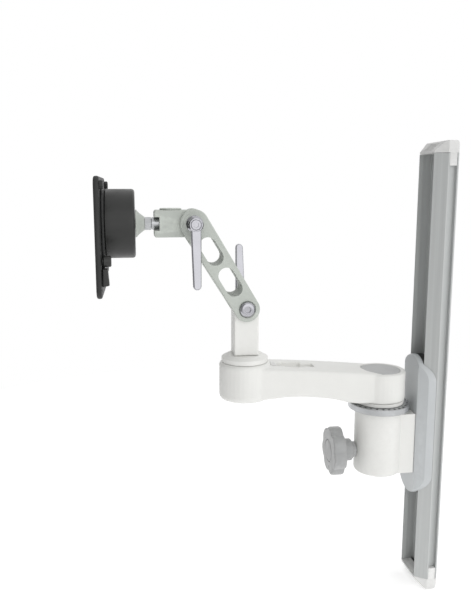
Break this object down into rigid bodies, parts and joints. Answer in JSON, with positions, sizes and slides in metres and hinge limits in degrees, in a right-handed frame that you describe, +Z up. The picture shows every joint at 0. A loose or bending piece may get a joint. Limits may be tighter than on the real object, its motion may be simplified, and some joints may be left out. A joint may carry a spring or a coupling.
{
  "type": "monitor arm",
  "caption": "Wall-track monitor arm: a locking trolley on a vertical rail carries a swivel arm, a square post, a tilting link with clamp levers, a pan neck and a rotating VESA plate.",
  "frame": {"origin": "centre of the track's flat back face, which lies against the wall", "axes": "+X points into the wall, +Z up along the track, +Y to the right of someone facing the wall"},
  "size_m": [0.3738, 0.1164, 0.5086],
  "materials": {
    "white_paint": "satin powder coat",
    "grey_paint": "satin powder coat",
    "cast_grey": "satin painted casting",
    "anodised": "clear anodised extrusion",
    "pale_plastic": "fine moulded texture",
    "knob_plastic": "moulded",
    "cap_grey": "fine moulded texture",
    "chrome": "polished",
    "steel": "machined",
    "black_plastic": "satin moulded",
    "black_paint": "satin powder coat",
    "bronze": "sintered",
    "rubber": "moulded"
  },
  "bodies": {
    "track": {"track_extrusion": "anodised", "top_end_cap": "pale_plastic", "bottom_end_cap": "pale_plastic"},
    "trolley": {"trolley_saddle": "grey_paint", "slide_block": "steel", "upper_glide": "black_plastic", "lower_glide": "black_plastic", "housing_screw_1": "steel", "housing_screw_2": "steel", "housing_screw_3": "steel", "housing_screw_4": "steel", "pivot_housing": "white_paint", "upper_swivel_bush": "bronze", "lower_swivel_bush": "bronze", "stop_ring": "steel", "left_stop_pin": "steel", "right_stop_pin": "steel"},
    "brake": {"brake_pad": "rubber"},
    "knob": {"lock_stud": "steel", "knob_head": "knob_plastic", "knob_cap": "knob_plastic"},
    "arm": {"extension_arm": "white_paint", "arm_cap": "cap_grey", "cable_clip": "pale_plastic", "pivot_shaft": "steel", "shaft_bolt": "steel", "spacer_washer": "white_paint", "upper_post_bush": "bronze", "lower_post_bush": "bronze"},
    "post": {"post_collar": "white_paint", "post_spindle": "steel", "tilt_post": "white_paint", "post_retaining_washer": "steel", "post_retaining_screw": "steel"},
    "link": {"tilt_link": "cast_grey", "lower_pivot_bolt": "chrome", "upper_pivot_bolt": "chrome", "lower_washer_near": "black_plastic", "lower_washer_far": "black_plastic", "upper_washer_near": "black_plastic", "upper_washer_far": "black_plastic"},
    "upper_clamp": {"upper_lever": "chrome", "upper_lever_screw": "chrome"},
    "lower_clamp": {"lower_lever": "chrome", "lower_lever_screw": "chrome"},
    "head": {"head_block": "cast_grey", "pan_pin": "steel", "pan_cap": "cast_grey"},
    "neck": {"neck_shaft": "steel", "neck_nut": "steel", "neck_cone": "cast_grey", "rotation_lock_nut": "steel"},
    "vesa_head": {"puck_cover": "black_plastic", "rotation_hub": "anodised", "carrier_plate": "black_paint", "vesa_plate": "black_paint", "near_plate_screw": "black_paint", "far_plate_screw": "black_paint", "release_latch": "black_plastic", "thumb_screw": "black_plastic"}
  },
  "joints": [
    {"name": "trolley_slide", "type": "slide", "parent": "track", "child": "trolley", "axis": [0, 0, 1], "range_m": [-0.095, 0.215]},
    {"name": "brake_travel", "type": "slide", "parent": "trolley", "child": "brake", "axis": [-1, 0, 0], "range_m": [0, 0.003]},
    {"name": "knob_turn", "type": "hinge", "parent": "brake", "child": "knob", "pos_m": [-0.1, 0, -0.0882], "axis": [-1, 0, 0], "range_deg": [0, 720]},
    {"name": "arm_swivel", "type": "hinge", "parent": "trolley", "child": "arm", "pos_m": [-0.0682, 0, 0], "axis": [0, 0, 1], "range_deg": [-90, 90]},
    {"name": "post_swivel", "type": "hinge", "parent": "arm", "child": "post", "pos_m": [-0.2223, 0, 0.0204], "axis": [0, 0, -1], "range_deg": [-150, 150]},
    {"name": "link_tilt", "type": "hinge", "parent": "post", "child": "link", "pos_m": [-0.2223, 0, 0.0799], "axis": [0, -1, 0], "range_deg": [-60, 55]},
    {"name": "lower_clamp_turn", "type": "hinge", "parent": "link", "child": "lower_clamp", "pos_m": [-0.2223, 0, 0.0799], "axis": [0, -1, 0], "range_deg": [-60, 60]},
    {"name": "upper_clamp_turn", "type": "hinge", "parent": "link", "child": "upper_clamp", "pos_m": [-0.27685, 0, 0.16927], "axis": [0, 1, 0], "range_deg": [-60, 60]},
    {"name": "head_tilt", "type": "hinge", "parent": "link", "child": "head", "pos_m": [-0.27685, 0, 0.16927], "axis": [0, 1, 0], "range_deg": [-30, 90]},
    {"name": "neck_pan", "type": "hinge", "parent": "head", "child": "neck", "pos_m": [-0.30005, 0, 0.16927], "axis": [0, 0, 1], "range_deg": [-20, 20]},
    {"name": "vesa_rotate", "type": "hinge", "parent": "neck", "child": "vesa_head", "pos_m": [-0.33625, 0, 0.16927], "axis": [1, 0, 0], "range_deg": [-90, 90]}
  ],
  "couplings": [
    {"joint": "knob_turn", "follows": "brake_travel", "rad_per_m": 4188.8}
  ]
}
